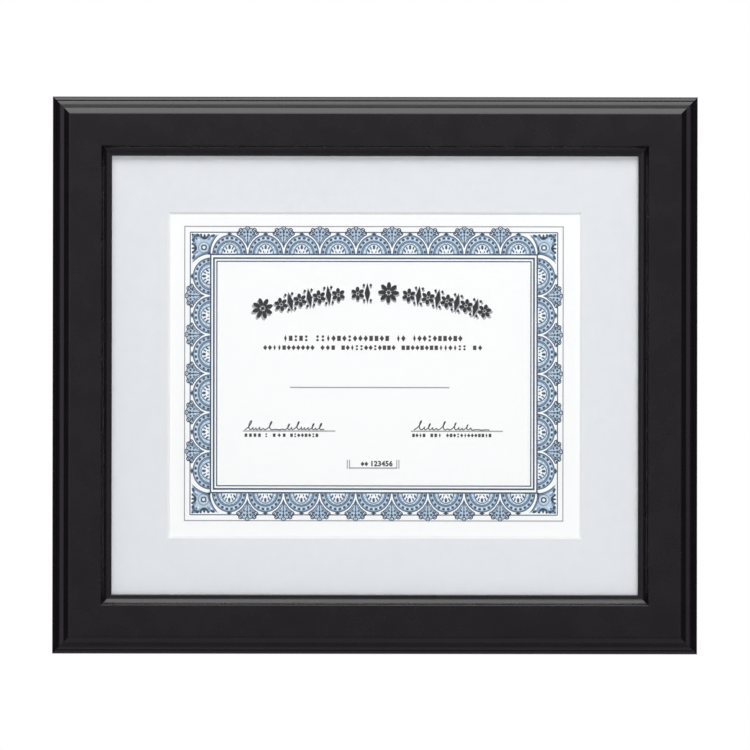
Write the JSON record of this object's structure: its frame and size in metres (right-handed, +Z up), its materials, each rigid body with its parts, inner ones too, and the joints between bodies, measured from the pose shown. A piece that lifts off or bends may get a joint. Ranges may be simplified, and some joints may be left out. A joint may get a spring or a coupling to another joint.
{
  "type": "certificate frame",
  "caption": "Black moulded wall frame holding glass, a bevelled pale mat and a bordered certificate, closed at the back by turn buttons and hung on sawtooth hangers.",
  "frame": {"origin": "the point on the wall where a nail's shank bears in the middle notch of the upper sawtooth hanger, with the certificate hung wide", "axes": "+X to the right as the certificate is read, +Y back into the wall, +Z up; the wall is the plane Y = 0 and the certificate faces -Y"},
  "size_m": [0.4196, 0.0216, 0.3626],
  "materials": {
    "frame_wood": "satin black paint over moulded wood",
    "glass": "clear picture glass",
    "mat_board": "cool off-white, white core",
    "certificate_paper": "smooth white, printed",
    "paper_tape": "gummed paper tape",
    "filler_card": "plain card",
    "backing_fibreboard": "plain hardboard",
    "button_steel": "bright zinc plate",
    "screw_steel": "bright zinc plate",
    "hanger_steel": "bright zinc plate",
    "nail_steel": "plain bright steel",
    "bumper_rubber": "soft clear-grey polyurethane"
  },
  "bodies": {
    "frame": {"rail_top": "frame_wood", "rail_right": "frame_wood", "rail_bottom": "frame_wood", "rail_left": "frame_wood", "v_nails_top_right": "nail_steel", "v_nails_bottom_right": "nail_steel", "v_nails_bottom_left": "nail_steel", "v_nails_top_left": "nail_steel", "glass": "glass", "window_mat": "mat_board", "certificate": "certificate_paper", "paper_hinge_left": "paper_tape", "paper_hinge_right": "paper_tape", "filler_board": "filler_card", "backing_board": "backing_fibreboard", "turn_button_screws": "screw_steel", "sawtooth_hanger_top": "hanger_steel", "sawtooth_hanger_left": "hanger_steel", "hanger_nails": "nail_steel", "wall_bumper_top_left": "bumper_rubber", "wall_bumper_top_right": "bumper_rubber", "wall_bumper_bottom_left": "bumper_rubber", "wall_bumper_bottom_right": "bumper_rubber"},
    "button_top_right": {"turn_button_top_right": "button_steel"},
    "button_top_left": {"turn_button_top_left": "button_steel"},
    "button_right_lower": {"turn_button_right_lower": "button_steel"},
    "button_right_upper": {"turn_button_right_upper": "button_steel"},
    "button_bottom_left": {"turn_button_bottom_left": "button_steel"},
    "button_bottom_right": {"turn_button_bottom_right": "button_steel"},
    "button_left_upper": {"turn_button_left_upper": "button_steel"},
    "button_left_lower": {"turn_button_left_lower": "button_steel"}
  },
  "joints": [
    {"name": "turn_top_right", "type": "hinge", "parent": "frame", "child": "button_top_right", "pos_m": [0.10275, -0.0035, -0.0077], "axis": [0, 1, 0], "continuous": true},
    {"name": "turn_top_left", "type": "hinge", "parent": "frame", "child": "button_top_left", "pos_m": [-0.10275, -0.0035, -0.0077], "axis": [0, 1, 0], "continuous": true},
    {"name": "turn_right_lower", "type": "hinge", "parent": "frame", "child": "button_right_lower", "pos_m": [0.18615, -0.0035, -0.25092], "axis": [0, 1, 0], "continuous": true},
    {"name": "turn_right_upper", "type": "hinge", "parent": "frame", "child": "button_right_upper", "pos_m": [0.18615, -0.0035, -0.07968], "axis": [0, 1, 0], "continuous": true},
    {"name": "turn_bottom_left", "type": "hinge", "parent": "frame", "child": "button_bottom_left", "pos_m": [-0.10275, -0.0035, -0.3229], "axis": [0, 1, 0], "continuous": true},
    {"name": "turn_bottom_right", "type": "hinge", "parent": "frame", "child": "button_bottom_right", "pos_m": [0.10275, -0.0035, -0.3229], "axis": [0, 1, 0], "continuous": true},
    {"name": "turn_left_upper", "type": "hinge", "parent": "frame", "child": "button_left_upper", "pos_m": [-0.18615, -0.0035, -0.07968], "axis": [0, 1, 0], "continuous": true},
    {"name": "turn_left_lower", "type": "hinge", "parent": "frame", "child": "button_left_lower", "pos_m": [-0.18615, -0.0035, -0.25092], "axis": [0, 1, 0], "continuous": true}
  ]
}
